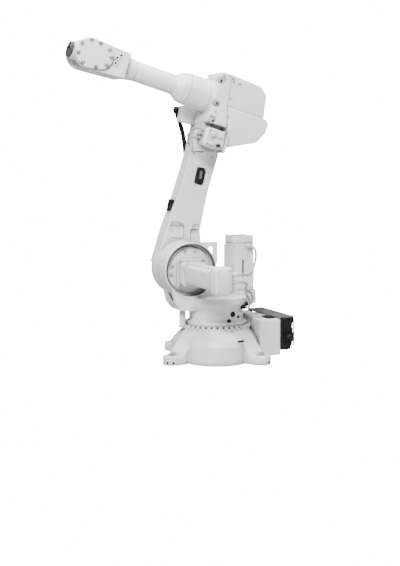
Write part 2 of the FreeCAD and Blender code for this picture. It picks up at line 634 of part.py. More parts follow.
def build_wrist():
    axis = "elbow_offset"
    ball = rod("tilt_ball", "tilt_radius", "2 * tilt_half", "wrist_reach", "-tilt_half", axis, "Y")
    trunnion = rod("tilt_trunnion", "trunnion_radius", "2 * (slot_half - bearing_gap)", "wrist_reach",
                   "-slot_half + bearing_gap", axis, "Y")
    snout_end = "flange_reach - flange_thick - 4"
    snout = rod("tilt_snout", "snout_radius", snout_end, "wrist_reach", 0, axis, "X")
    block_name = join("tilt_solid", ball, trunnion, snout)
    finish(pitch_upper(block_name), "tilt_housing")
    disc_start = "wrist_reach + flange_reach - flange_thick"
    disc = rod("tool_disc", "flange_radius", "flange_thick", disc_start, 0, axis, "X")
    neck = rod("tool_neck", "flange_neck", "4 - bearing_gap", f"{disc_start} - 4 + bearing_gap", 0,
               axis, "X")
    holes = []
    for order in range(int(SIZES["tool_hole_count"])):
        turn = f"{order} * 360 / tool_hole_count"
        holes.append(rod(f"tool_hole{order}", "tool_hole_radius", "flange_thick + 1", disc_start,
                         f"tool_circle * cos({turn})", f"{axis} + tool_circle * sin({turn})", "X"))
    pilot = rod("tool_pilot", "pilot_radius", "pilot_depth + 1", "wrist_reach + flange_reach - pilot_depth",
                0, axis, "X")
    finish(pitch_upper(remove("tool_flange", join("tool_solid", disc, neck), pilot, *holes)),
           "tool_flange")


def check_and_write():
    document.recompute()
    for item in document.Objects:
        if "Invalid" in item.State or "Error" in item.State:
            raise RuntimeError(f"{item.Name} is {item.State}")
    os.makedirs("parts", exist_ok=True)
    for item in subparts:
        if item.Shape.isNull() or not item.Shape.isValid() or not item.Shape.Solids:
            raise RuntimeError(f"{item.Label} has no valid solid")
        item.Shape.exportStep(f"parts/{item.Label}.step")
        box = item.Shape.BoundBox
        print(f"{item.Label:20s} {len(item.Shape.Solids)} solid  {item.Shape.Volume / 1e6:8.3f} l  "
              f"{box.XMin:7.1f} {box.YMin:7.1f} {box.ZMin:7.1f} {box.XMax:7.1f} {box.YMax:7.1f} {box.ZMax:7.1f}")


fill_sheet()
build_base()
build_rear_box()
build_frame()
build_motor1()
build_motor2()
build_lower_arm()
document.recompute()
build_hose()
build_house()
build_rear_cover()
document.recompute()
build_motor3()
build_forearm()
build_fork()
build_wrist()
check_and_write()
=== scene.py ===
import bmesh
import bpy
import json
import math
from mathutils import Matrix, Vector


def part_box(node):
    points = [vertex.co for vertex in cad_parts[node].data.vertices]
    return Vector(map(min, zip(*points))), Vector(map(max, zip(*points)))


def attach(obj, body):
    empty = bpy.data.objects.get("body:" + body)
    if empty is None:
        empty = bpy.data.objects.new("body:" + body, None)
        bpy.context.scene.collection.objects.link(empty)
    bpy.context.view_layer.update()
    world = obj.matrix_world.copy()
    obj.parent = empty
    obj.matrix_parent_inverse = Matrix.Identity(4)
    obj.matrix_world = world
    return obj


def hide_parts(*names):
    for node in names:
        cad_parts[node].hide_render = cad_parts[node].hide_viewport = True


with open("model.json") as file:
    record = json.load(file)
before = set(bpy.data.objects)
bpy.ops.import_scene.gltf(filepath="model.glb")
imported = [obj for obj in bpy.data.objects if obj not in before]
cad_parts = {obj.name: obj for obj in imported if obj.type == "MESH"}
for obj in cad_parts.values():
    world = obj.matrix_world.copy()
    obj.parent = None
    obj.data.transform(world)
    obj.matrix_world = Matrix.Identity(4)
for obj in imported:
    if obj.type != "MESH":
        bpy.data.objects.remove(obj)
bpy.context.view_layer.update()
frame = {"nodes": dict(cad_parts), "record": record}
nodes = frame["nodes"]
scene = bpy.context.scene

# frames that the leaning pieces are drawn in, with x along the piece
shoulder = Vector((0.150, 0, 0.423))
lean = math.radians(-12.4)
pitch = math.radians(-16.9)
elbow = shoulder + 0.700 * Vector((math.sin(lean), 0, math.cos(lean)))
upright = Matrix.Identity(4)
nearward = Matrix.Rotation(-math.pi / 2, 4, "X")
leaning = Matrix.Translation(shoulder) @ Matrix.Rotation(lean, 4, "Y")
pitched = Matrix.Translation(elbow) @ Matrix.Rotation(pitch, 4, "Y")


# a matrix that turns local z to a direction, keeps local y upward, and puts it at a place
def facing(place, direction):
    turn = Vector(direction).to_track_quat("Z", "Y").to_matrix().to_4x4()
    return Matrix.Translation(Vector(place)) @ turn


# materials

def shaderNode(tree, kind, **values):
    node = tree.nodes.new(kind)
    for key, value in values.items():
        if key in node.inputs:
            node.inputs[key].default_value = value
        else:
            setattr(node, key, value)
    return node


# fine and broad noise on object coordinates, as a height and as a tint
def makeGrainGroup():
    group = bpy.data.node_groups.new("surfaceGrain", "ShaderNodeTree")
    for socketName, kind, where in (("Fine", "NodeSocketFloat", "INPUT"),
                                    ("Broad", "NodeSocketFloat", "INPUT"),
                                    ("Height", "NodeSocketFloat", "OUTPUT"),
                                    ("Tint", "NodeSocketFloat", "OUTPUT")):
        group.interface.new_socket(name=socketName, in_out=where, socket_type=kind)
    entry = group.nodes.new("NodeGroupInput")
    leave = group.nodes.new("NodeGroupOutput")
    place = group.nodes.new("ShaderNodeTexCoord")
    fine = shaderNode(group, "ShaderNodeTexNoise", Detail=3.0, Roughness=0.6)
    broad = shaderNode(group, "ShaderNodeTexNoise", Detail=5.0, Roughness=0.55)
    group.links.new(place.outputs["Object"], fine.inputs["Vector"])
    group.links.new(place.outputs["Object"], broad.inputs["Vector"])
    group.links.new(entry.outputs["Fine"], fine.inputs["Scale"])
    group.links.new(entry.outputs["Broad"], broad.inputs["Scale"])
    group.links.new(fine.outputs["Fac"], leave.inputs["Height"])
    group.links.new(broad.outputs["Fac"], leave.inputs["Tint"])
    return group


grainGroup = makeGrainGroup()


# a paint, plastic, rubber or metal: two close tints, grain, painted shade in crevices, and softened edges
def surface(name, look):
    material = bpy.data.materials.new(name)
    material.use_nodes = True
    tree = material.node_tree
    shader = tree.nodes["Principled BSDF"]
    shader.inputs["Metallic"].default_value = look.get("metal", 0.0)
    shader.inputs["Coat Weight"].default_value = look.get("coat", 0.0)
    shader.inputs["Coat Roughness"].default_value = 0.25
    shader.inputs["Specular IOR Level"].default_value = look.get("shine", 0.5)
    grain = tree.nodes.new("ShaderNodeGroup")
    grain.node_tree = grainGroup
    grain.inputs["Fine"].default_value = look["fine"]
    grain.inputs["Broad"].default_value = look["broad"]
    tint = tree.nodes.new("ShaderNodeMix")
    tint.data_type = "RGBA"
    tint.inputs["A"].default_value = (*look["dark"], 1)
    tint.inputs["B"].default_value = (*look["light"], 1)
    spread = shaderNode(tree, "ShaderNodeMapRange")
    spread.inputs["From Min"].default_value = 0.35
    spread.inputs["From Max"].default_value = 0.65
    tree.links.new(grain.outputs["Tint"], spread.inputs["Value"])
    tree.links.new(spread.outputs["Result"], tint.inputs["Factor"])
    # ambient occlusion darkens the base colour in crevices and hollows: painted shade
    crevice = shaderNode(tree, "ShaderNodeAmbientOcclusion", samples=6)
    crevice.inputs["Distance"].default_value = look.get("creviceReach", 0.02)
    paintedCreviceShade = tree.nodes.new("ShaderNodeMix")
    paintedCreviceShade.data_type = "RGBA"
    paintedCreviceShade.inputs["A"].default_value = (*[part * look.get("paintedCreviceShade", 0.6) for part in look["dark"]], 1)
    tree.links.new(tint.outputs["Result"], paintedCreviceShade.inputs["B"])
    tree.links.new(crevice.outputs["AO"], paintedCreviceShade.inputs["Factor"])
    tree.links.new(paintedCreviceShade.outputs["Result"], shader.inputs["Base Color"])
    sheen = shaderNode(tree, "ShaderNodeMapRange")
    sheen.inputs["To Min"].default_value = look["rough"] - 0.06
    sheen.inputs["To Max"].default_value = look["rough"] + 0.06
    tree.links.new(grain.outputs["Tint"], sheen.inputs["Value"])
    tree.links.new(sheen.outputs["Result"], shader.inputs["Roughness"])
    softEdge = shaderNode(tree, "ShaderNodeBevel", samples=6, Radius=look.get("edge", 0.0015))
    bump = shaderNode(tree, "ShaderNodeBump", Strength=look["bump"], Distance=0.0006)
    tree.links.new(softEdge.outputs["Normal"], bump.inputs["Normal"])
    tree.links.new(grain.outputs["Height"], bump.inputs["Height"])
    tree.links.new(bump.outputs["Normal"], shader.inputs["Normal"])
    return material


looks = {
    "whitePaint": {"dark": (0.74, 0.745, 0.75), "light": (0.83, 0.832, 0.83), "rough": 0.42, "fine": 420,
                   "broad": 5, "bump": 0.16, "edge": 0.003, "paintedCreviceShade": 0.22, "coat": 0.15,
                   "creviceReach": 0.03},
    "blackPlastic": {"dark": (0.004, 0.004, 0.004), "light": (0.011, 0.011, 0.012), "rough": 0.48,
                     "shine": 0.22, "fine": 900,
                     "broad": 14, "bump": 0.3, "edge": 0.001},
    "blackRubber": {"dark": (0.004, 0.004, 0.004), "light": (0.010, 0.010, 0.010), "rough": 0.68,
                    "shine": 0.2, "fine": 700,
                    "broad": 20, "bump": 0.35},
    # dark grey: the roof plate's own paint, and painted shade on the hub recess wall, motor grooves and
    # seams
    "darkGreyPaintAndShade": {"dark": (0.085, 0.085, 0.088), "light": (0.12, 0.12, 0.123), "rough": 0.45,
                      "fine": 500,
                      "broad": 9, "bump": 0.2},
    "connectorGrey": {"dark": (0.58, 0.58, 0.58), "light": (0.68, 0.68, 0.675), "rough": 0.5, "fine": 800,
                      "broad": 30, "bump": 0.2, "edge": 0.0008},
    "cableGrey": {"dark": (0.38, 0.385, 0.39), "light": (0.46, 0.465, 0.47), "rough": 0.55, "fine": 900,
                  "broad": 25, "bump": 0.25},
    "machinedSteel": {"dark": (0.09, 0.09, 0.095), "light": (0.16, 0.16, 0.165), "rough": 0.36,
                      "fine": 1400,
                      "broad": 40, "bump": 0.25, "metal": 0.9, "edge": 0.0006},
    "zincScrew": {"dark": (0.50, 0.50, 0.51), "light": (0.64, 0.64, 0.65), "rough": 0.32, "fine": 1600,
                  "broad": 60, "bump": 0.15, "metal": 0.85, "edge": 0.0006},
    "shadowGap": {"dark": (0.012, 0.012, 0.012), "light": (0.025, 0.025, 0.025), "rough": 0.7, "shine": 0.2,
                  "fine": 600,
                  "broad": 20, "bump": 0.2},
}
materials = {name: surface(name, look) for name, look in looks.items()}
slotLooks = {"white_paint": "whitePaint", "black_plastic": "blackPlastic", "black_rubber": "blackRubber",
             "dark_grey_paint": "darkGreyPaintAndShade", "connector_grey": "connectorGrey",
             "cable_grey": "cableGrey",
             "machined_steel": "machinedSteel"}
lookSlots = {look: slot for slot, look in slotLooks.items()}
lookSlots["zincScrew"] = "machined_steel"
lookSlots["shadowGap"] = "black_plastic"
for part in frame["record"]["subparts"]:
    shown = nodes[part["node"]].data
    shown.materials.clear()
    shown.materials.append(materials[slotLooks[part["material_slot"]]])
print("materials done")


# helpers

# put a finished mesh on a body, with its material, and hide the CAD parts it replaces
def addPiece(name, mesh, body, look, *replaced):
    piece = bpy.data.objects.new(name, mesh)
    scene.collection.objects.link(piece)
    if not mesh.materials:
        mesh.materials.append(materials[look])
    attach(piece, body)
    if replaced:
        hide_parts(*replaced)
    return piece


def meshFrom(name, build, smooth=40):
    mesh = bpy.data.meshes.new(name)
    bmesh.ops.recalc_face_normals(build, faces=build.faces)
    build.to_mesh(mesh)
    build.free()
    mesh.shade_smooth()
    if smooth < 180:
        mesh.set_sharp_from_angle(angle=math.radians(smooth))
    return mesh


# the plain mesh that an object's modifiers give
def evaluated(holder):
    graph = bpy.context.evaluated_depsgraph_get()
    return bpy.data.meshes.new_from_object(holder.evaluated_get(graph))


# a copy of a CAD solid with the soft corners of a painted casting
def casting(node, body, look="whitePaint", voxel=0.0036, rounds=9):
    build = bmesh.new()
    build.from_mesh(nodes[node].data)
    bmesh.ops.remove_doubles(build, verts=build.verts, dist=0.00002)
    holder = bpy.data.objects.new(node + "Blank", meshFrom(node + "Blank", build))
    scene.collection.objects.link(holder)
    remesh = holder.modifiers.new("remesh", "REMESH")
    remesh.mode = "VOXEL"
    remesh.voxel_size = voxel
    soften = holder.modifiers.new("soften", "SMOOTH")
    soften.factor = 0.5
    soften.iterations = rounds
    mesh = evaluated(holder)
    bpy.data.objects.remove(holder)
    mesh.shade_smooth()
    mesh.materials.clear()
    return addPiece(node + "Casting", mesh, body, look, node)


def ringLoop(radius, height, sides=32):
    return [Vector((radius * math.cos(math.tau * turn / sides), radius * math.sin(math.tau * turn / sides),
                    height))
            for turn in range(sides)]


def turnedLoops(profile, sides=32):
    return [ringLoop(radius, height, sides) for radius, height in profile]


def hexLoop(radius, height, sides=24):
    points = []
    for turn in range(sides):
        angle = math.tau * turn / sides
        reach = radius * math.cos(math.pi / 6) / math.cos(angle % (math.pi / 3) - math.pi / 6)
        points.append(Vector((reach * math.cos(angle), reach * math.sin(angle), height)))
    return points


# a rounded rectangle
def plateLoop(width, depth, corner, height, centre=(0, 0), steps=4):
    points = []
    for quarter, (sideX, sideY) in enumerate(((1, 1), (-1, 1), (-1, -1), (1, -1))):
        for step in range(steps + 1):
            angle = math.pi / 2 * (quarter + step / steps)
            points.append(Vector((centre[0] + sideX * (width / 2 - corner) + corner * math.cos(angle),
                                  centre[1] + sideY * (depth / 2 - corner) + corner * math.sin(angle),
                                  height)))
    return points


# a closed solid through a stack of loops with the same number of points
def addStack(build, loops, matrix):
    rings = [[build.verts.new(matrix @ point) for point in loop] for loop in loops]
    for lower, upper in zip(rings, rings[1:]):
        for index in range(len(lower)):
            following = (index + 1) % len(lower)
            build.faces.new((lower[index], lower[following], upper[following], upper[index]))
    build.faces.new(list(reversed(rings[0])))
    build.faces.new(rings[-1])


# one piece made of several stacks, each a list of loops and a matrix
def stackPiece(name, stacks, body, look, *replaced, smooth=40):
    build = bmesh.new()
    for loops, matrix in stacks:
        addStack(build, loops, matrix)
    return addPiece(name, meshFrom(name, build, smooth), body, look, *replaced)


# loops of a rounded plate with softened upper and lower edges
def plate(width, depth, height, corner, edge=0.0015, base=0.0):
    return [plateLoop(width - 2 * edge, depth - 2 * edge, corner - edge, base),
            plateLoop(width, depth, corner, base + edge),
            plateLoop(width, depth, corner, base + height - edge),
            plateLoop(width - 2 * edge, depth - 2 * edge, corner - edge, base + height)]


# a ring turned from a closed profile of radius and height pairs
def addSleeve(build, profile, matrix, sides=96):
    rings = []
    for radius, height in profile:
        rings.append([build.verts.new(matrix @ point) for point in ringLoop(radius, height, sides)])
    for lower, upper in zip(rings, rings[1:] + rings[:1]):
        for index in range(sides):
            following = (index + 1) % sides
            build.faces.new((lower[index], lower[following], upper[following], upper[index]))


def sleevePiece(name, sleeves, body, look):
    build = bmesh.new()
    for profile, matrix in sleeves:
        addSleeve(build, profile, matrix)
    return addPiece(name, meshFrom(name, build), body, look)


def disc(radius, height, edge=0.001, base=0.0, sides=48):
    return turnedLoops([(radius - edge, base), (radius, base + edge), (radius, base + height - edge),
                        (radius - edge, base + height)], sides)


# smooth round tubes along routes of points
def tubePiece(name, routes, radius, body, look, *replaced):
    curve = bpy.data.curves.new(name, "CURVE")
    curve.dimensions = "3D"
    curve.bevel_depth = radius
    curve.bevel_resolution = 5
    curve.use_fill_caps = True
    for route in routes:
        spline = curve.splines.new("NURBS")
        spline.points.add(len(route) - 1)
        for point, place in zip(spline.points, route):
            point.co = (*place, 1)
        spline.order_u = 3
        spline.use_endpoint_u = True
        spline.resolution_u = 8
    holder = bpy.data.objects.new(name + "Path", curve)
    scene.collection.objects.link(holder)
    mesh = evaluated(holder)
    bpy.data.objects.remove(holder)
    mesh.shade_smooth()
    return addPiece(name, mesh, body, look, *replaced)


# repeated screws and bolts

# copies of one item, one on each point, turned to the point's heading
def makeRepeatGroup():
    group = bpy.data.node_groups.new("repeatOnPoints", "GeometryNodeTree")
    group.interface.new_socket(name="Geometry", in_out="INPUT", socket_type="NodeSocketGeometry")
    group.interface.new_socket(name="Item", in_out="INPUT", socket_type="NodeSocketObject")
    group.interface.new_socket(name="Material", in_out="INPUT", socket_type="NodeSocketMaterial")
    group.interface.new_socket(name="Geometry", in_out="OUTPUT", socket_type="NodeSocketGeometry")
    entry = group.nodes.new("NodeGroupInput")
    leave = group.nodes.new("NodeGroupOutput")
    item = group.nodes.new("GeometryNodeObjectInfo")
    heading = group.nodes.new("GeometryNodeInputNamedAttribute")
    heading.data_type = "FLOAT_VECTOR"
    heading.inputs["Name"].default_value = "heading"
    align = group.nodes.new("FunctionNodeAlignRotationToVector")
    place = group.nodes.new("GeometryNodeInstanceOnPoints")
    realize = group.nodes.new("GeometryNodeRealizeInstances")
    paint = group.nodes.new("GeometryNodeSetMaterial")
    group.links.new(entry.outputs["Item"], item.inputs["Object"])
    group.links.new(entry.outputs["Geometry"], place.inputs["Points"])
    group.links.new(item.outputs["Geometry"], place.inputs["Instance"])
    group.links.new(heading.outputs["Attribute"], align.inputs["Vector"])
    group.links.new(align.outputs["Rotation"], place.inputs["Rotation"])
    group.links.new(place.outputs["Instances"], realize.inputs["Geometry"])
    group.links.new(realize.outputs["Geometry"], paint.inputs["Geometry"])
    group.links.new(entry.outputs["Material"], paint.inputs["Material"])
    group.links.new(paint.outputs["Geometry"], leave.inputs["Geometry"])
    return group


repeatGroup = makeRepeatGroup()


# repeat a small turned item at each place and heading
def repeatPiece(name, loops, places, body, look):
    build = bmesh.new()
    addStack(build, loops, Matrix.Identity(4))
    item = bpy.data.objects.new(name + "Item", meshFrom(name + "Item", build, 30))
    scene.collection.objects.link(item)
    points = bpy.data.meshes.new(name + "Points")
    points.from_pydata([Vector(place) for place, heading in places], [], [])
    attribute = points.attributes.new("heading", "FLOAT_VECTOR", "POINT")
    for index, (place, heading) in enumerate(places):
        attribute.data[index].vector = Vector(heading)
    holder = bpy.data.objects.new(name + "Holder", points)
    scene.collection.objects.link(holder)
    repeat = holder.modifiers.new("repeat", "NODES")
    repeat.node_group = repeatGroup
    inputs = {socket.name: socket.identifier for socket in repeatGroup.interface.items_tree
              if socket.in_out == "INPUT"}
    repeat[inputs["Item"]] = item
    repeat[inputs["Material"]] = materials[look]
    mesh = evaluated(holder)
    bpy.data.objects.remove(holder)
    bpy.data.objects.remove(item)
    return addPiece(name, mesh, body, look)


# a socket head with its hexagon recess
def socketScrew(radius, height):
    hexagon = 0.52 * radius
    return [ringLoop(radius, 0, 24), ringLoop(radius, 0.82 * height, 24),
            ringLoop(0.88 * radius, height, 24),
            hexLoop(hexagon, height), hexLoop(hexagon, 0.4 * height)]


# a washer under a hexagon head
def hexBolt(radius, height):
    return [ringLoop(1.45 * radius, 0, 24), ringLoop(1.45 * radius, 0.003, 24),
            ringLoop(1.02 * radius, 0.0031, 24),
            hexLoop(radius, 0.0032), hexLoop(radius, height - 0.0015), hexLoop(0.9 * radius, height)]


# places on a near face, whose outward direction is +Y, in a leaning frame
def onSide(home, spots, level):
    return [(home @ Vector((x / 1000, level, z / 1000)), Vector((0, 1, 0))) for x, z in spots]


# base

baseSizes = {"ringRadius": 0.1570, "ringTop": 0.1485, "ringBolts": 36, "feetTurn": 23.5,
             "feetCircle": 0.286,
             "footTop": 0.042, "deckTop": 0.150, "ribRadius": 0.176}
casting("base_casting", "base", voxel=0.0034, rounds=4)
casting("rear_box", "base", voxel=0.0034, rounds=5)


def buildBaseBolts(sizes):
    ring = []
    ribs = []
    for order in range(sizes["ringBolts"]):
        angle = math.tau * (order + 0.5) / sizes["ringBolts"]
        outward = Vector((math.cos(angle), math.sin(angle), 0))
        ring.append((outward * sizes["ringRadius"] + Vector((0, 0, sizes["ringTop"])), (0, 0, 1)))
        if order % 2 == 0:
            ribs.append((outward * sizes["ribRadius"] + Vector((0, 0, sizes["deckTop"] - 0.020)),
                         (0, 0, 1)))
    repeatPiece("ringBolts", socketScrew(0.0088, 0.0140), ring, "base", "whitePaint")
    sleevePiece("ringShadow",
                [([(0.1500, 0.1490), (0.1578, 0.1494), (0.1578, 0.1576), (0.1500, 0.1582)], upright)],
                "base", "shadowGap")
    feet = []
    for quarter in range(4):
        angle = math.radians(sizes["feetTurn"] + 90 * quarter)
        feet.append(((sizes["feetCircle"] * math.cos(angle), sizes["feetCircle"] * math.sin(angle),
                      sizes["footTop"] - 0.0005), (0, 0, 1)))
    repeatPiece("floorBolts", hexBolt(0.0155, 0.0150), feet, "base", "zincScrew")


buildBaseBolts(baseSizes)
footEdge = {"radius": 0.0052, "reach": 0.0435, "height": 0.014}
footHoles = []
for quarter, sideways in ((0, (38, 74)), (1, (118,)), (2, (218, 254)), (3, (308, 344))):
    middle = math.radians(baseSizes["feetTurn"] + 90 * quarter)
    for heading in sideways:
        angle = math.radians(heading)
        outward = Vector((math.cos(angle), math.sin(angle), 0))
        centre = Vector((math.cos(middle), math.sin(middle), 0)) * baseSizes["feetCircle"]
        footHoles.append((centre + outward * footEdge["reach"] + Vector((0, 0, footEdge["height"])),
                          outward))
repeatPiece("footHoles", disc(footEdge["radius"], 0.0032, 0.0004, sides=20), footHoles, "base", "shadowGap")

deckSlot = {"place": (-0.012, 0.262, 0.1085), "heading": (-0.03, 0.9, 0.45), "width": 0.030, "depth": 0.009}
stackPiece("deckSlot", [(plate(deckSlot["width"], deckSlot["depth"], 0.007, 0.0043, 0.0008),
                         facing(deckSlot["place"], deckSlot["heading"]))], "base", "blackPlastic")

stackPiece("stopPost", [(turnedLoops([(0.0158, 0.1495), (0.0158, 0.219), (0.0138, 0.2255)]),
                         Matrix.Translation((0.168, -0.006, 0))),
                        (turnedLoops([(0.0195, 0.1495), (0.0195, 0.1530), (0.0165, 0.1545)]),
                         Matrix.Translation((0.168, -0.006, 0)))], "base", "whitePaint", "stop_post")


# the black connector cover behind the rear box, with its lips and latches
def buildHood():
    front = -0.257
    layers = ((0.043, 0.044), (0.047, 0.052), (0.058, 0.052), (0.060, 0.058), (0.078, 0.058),
              (0.081, 0.064),
              (0.098, 0.064), (0.101, 0.069), (0.121, 0.069), (0.124, 0.062), (0.143, 0.062),
              (0.146, 0.054),
              (0.166, 0.054), (0.170, 0.070), (0.186, 0.070), (0.190, 0.066))
    loops = [plateLoop(depth, 0.126, 0.006, height, (front - depth / 2, 0.118)) for height, depth in layers]
    stacks = [(loops, upright)]
    for side in (0.0585, 0.0820, 0.1180, 0.1540, 0.1775):
        stacks.append((plate(0.0045, 0.108, 0.006, 0.002, 0.0006),
                       facing((front - 0.0640, side, 0.113), (-1, 0, 0))))
    for side in (0.0545, 0.1815):
        outward = 1 if side > 0.118 else -1
        stacks.append((plate(0.016, 0.086, 0.004, 0.004, 0.0008),
                       facing((front - 0.030, side - 0.002 * outward, 0.112), (0, outward, 0))))
        stacks.append((disc(0.0075, 0.005), facing((front - 0.030, side, 0.085), (0, outward, 0))))
    stackPiece("connectorHood", stacks, "base", "blackPlastic", "connector_hood", smooth=30)
    stackPiece("hoodGland", [([hexLoop(0.0165, 0), hexLoop(0.0165, 0.010), ringLoop(0.0138, 0.0105, 24),
                               ringLoop(0.0138, 0.022, 24), ringLoop(0.0120, 0.030, 24),
                               ringLoop(0.0080, 0.034, 24)],
                              facing((-0.292, 0.181, 0.1045), (0, 1, 0)))], "base", "blackPlastic",
                              "hood_gland")


buildHood()
lidSizes = {"place": (-0.218, 0.118, 0.1895), "width": 0.040, "depth": 0.074}
stackPiece("rearLid", [(plate(lidSizes["width"], lidSizes["depth"], 0.0062, 0.0075),
                        Matrix.Translation(lidSizes["place"]))], "base", "blackPlastic", "rear_lid")


def buildRoof():
    low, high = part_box("rear_roof")
    middle = ((low[0] + high[0]) / 2, (low[1] + high[1]) / 2)
    width, depth = high[0] - low[0], high[1] - low[1]
    stacks = [(plate(width, depth, high[2] - low[2], 0.006, base=low[2]), Matrix.Translation((*middle, 0)))]
    stackPiece("rearRoof", stacks, "base", "darkGreyPaintAndShade", "rear_roof")
    spots = [((low[0] + 0.012, side, high[2] - 0.0002), (0, 0, 1)) for side in
             (low[1] + 0.014, 0.0, high[1] - 0.014)]
    repeatPiece("roofScrews", socketScrew(0.0042, 0.0030), spots, "base", "zincScrew")


buildRoof()
print("base done")

# turning frame

casting("turning_frame", "turning_frame", voxel=0.0030, rounds=8)
casting("lifting_lug", "turning_frame", voxel=0.0018, rounds=8)

plugSizes = ((106, 0.215, 0.012), (122, 0.200, 0.006), (96, 0.184, 0.009))


def buildFramePlugs():
    stacks = []
    for direction, height, radius in plugSizes:
        angle = math.radians(direction)
        outward = Vector((math.cos(angle), math.sin(angle), 0))
        place = outward * 0.120 + Vector((0, 0, height))
        stacks.append((turnedLoops([(radius, 0), (radius, 0.0098), (0.86 * radius, 0.0112),
                                    (0.62 * radius, 0.0112), (0.56 * radius, 0.0088)], 24),
                       facing(place, outward)))
    stackPiece("framePlugs", stacks, "turning_frame", "blackPlastic", "frame_plugs", smooth=30)
    boots = []
    for direction, height in ((128, 0.246), (138, 0.258)):
        angle = math.radians(direction)
        outward = Vector((math.cos(angle), math.sin(angle), 0))
        place = outward * 0.128 + Vector((0, 0, height))
        boots.append((turnedLoops([(0.0100, 0), (0.0100, 0.022), (0.0112, 0.0225), (0.0112, 0.0265),
                                   (0.0088, 0.0270), (0.0084, 0.0290), (0.0092, 0.0292), (0.0072, 0.0340)],
                                   24), facing(place, outward)))
    stackPiece("cableBoots", boots, "turning_frame", "blackRubber", "cable_grommets", smooth=30)


buildFramePlugs()
noseSlot = {"size": (0.010, 0.048, 0.004), "place": (0.2385, 0.030, 0.303), "heading": (0.80, 0.02, -0.42)}
stackPiece("noseSlot",
           [(plate(noseSlot["size"][0], noseSlot["size"][1], noseSlot["size"][2], 0.0045, 0.0008),
                         facing(noseSlot["place"], noseSlot["heading"]))], "turning_frame", "shadowGap")

gearSizes = {"radius": 0.108, "start": 0.016, "thick": 0.014, "bossCircle": 0.090}


def buildGearPlate(sizes):
    centre = Matrix.Translation((shoulder.x, sizes["start"], shoulder.z)) @ nearward
    thick = sizes["thick"]
    loops = turnedLoops([(sizes["radius"], 0), (sizes["radius"], thick - 0.005),
                         (sizes["radius"] - 0.003, thick - 0.002), (sizes["radius"] - 0.010, thick - 0.002),
                         (sizes["radius"] - 0.013, thick)], 64)
    stacks = [(loops, centre)]
    bosses = []
    for angle in (12, 76, 108, 168, 192, 252, 288, 348):
        turn = math.radians(angle)
        reach = sizes["bossCircle"] * Vector((math.cos(turn), 0, math.sin(turn)))
        spot = Vector((shoulder.x, sizes["start"] + thick - 0.0005, shoulder.z)) + reach
        stacks.append((turnedLoops([(0.0105, 0), (0.0102, 0.0045), (0.0090, 0.0055)], 24),
                       facing(spot, (0, 1, 0))))
        bosses.append((spot + Vector((0, 0.0052, 0)), (0, 1, 0)))
    stackPiece("gearPlate", stacks, "turning_frame", "whitePaint", "gear2_plate")
    repeatPiece("gearScrews", socketScrew(0.0058, 0.0042), bosses, "turning_frame", "zincScrew")


buildGearPlate(gearSizes)
# a dark grey lining on the hub ring's inner wall: painted shade in the recess
sleevePiece("hubRecess", [([(0.1206, 0.0310), (0.1232, 0.0310), (0.1232, 0.0590), (0.1222, 0.0590)],
                           Matrix.Translation((shoulder.x, 0, shoulder.z)) @ nearward)],
            "turning_frame", "darkGreyPaintAndShade")
sleevePiece("turntableLip",
            [([(0.1425, 0.1592), (0.1456, 0.1592), (0.1456, 0.1612), (0.1425, 0.1612)], upright),
                             ([(0.1265, 0.1775), (0.1287, 0.1775), (0.1287, 0.1800), (0.1265, 0.1800)],
                              upright)],
            "turning_frame", "darkGreyPaintAndShade")

motorTwo = {"centre": (0.142, 0.406), "plate": 0.140, "start": 0.030, "bodyStart": 0.044, "capStart": 0.374,
            "end": 0.440, "body": 0.092, "capWidth": 0.084, "capHeight": 0.126,
            "headWidth": 0.122, "headHeight": 0.108, "headLength": 0.042}


